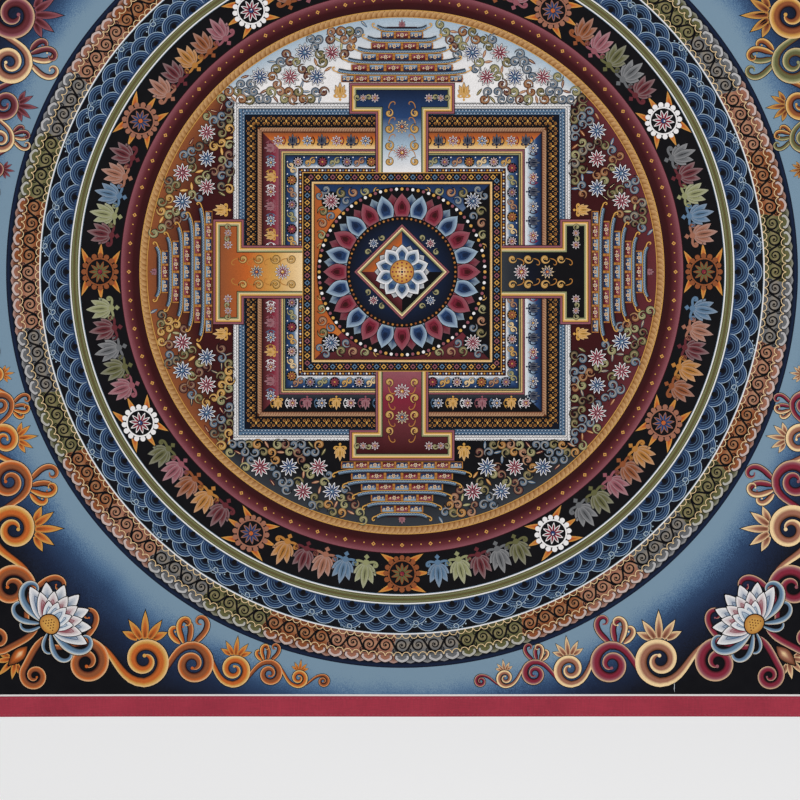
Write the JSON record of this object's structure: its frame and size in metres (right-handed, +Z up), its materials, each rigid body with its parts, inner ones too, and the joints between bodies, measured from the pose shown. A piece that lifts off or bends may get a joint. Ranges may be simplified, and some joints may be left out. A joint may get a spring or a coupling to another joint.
{
  "type": "thangka scroll painting",
  "caption": "Square painted canvas hanging with a mandala of rings and courts, edged with narrow mitred crimson cloth strips and hung nearly flat by its top edge.",
  "frame": {"origin": "middle of the top edge, halfway through the cloth's thickness", "axes": "+Z up, the cloth hangs down along -Z; -Y is the way the painted face looks, +Y is towards the wall; +X is to the right of someone facing the painting"},
  "size_m": [0.7898, 0.0073, 0.7898],
  "materials": {
    "painted_canvas": "matte mineral paint on primed cotton canvas",
    "crimson_cloth": "matte plain-woven crimson cloth"
  },
  "bodies": {
    "root": {"painted_canvas": "painted_canvas", "top_strip": "crimson_cloth", "left_strip": "crimson_cloth", "bottom_strip": "crimson_cloth", "right_strip": "crimson_cloth"}
  },
  "joints": []
}
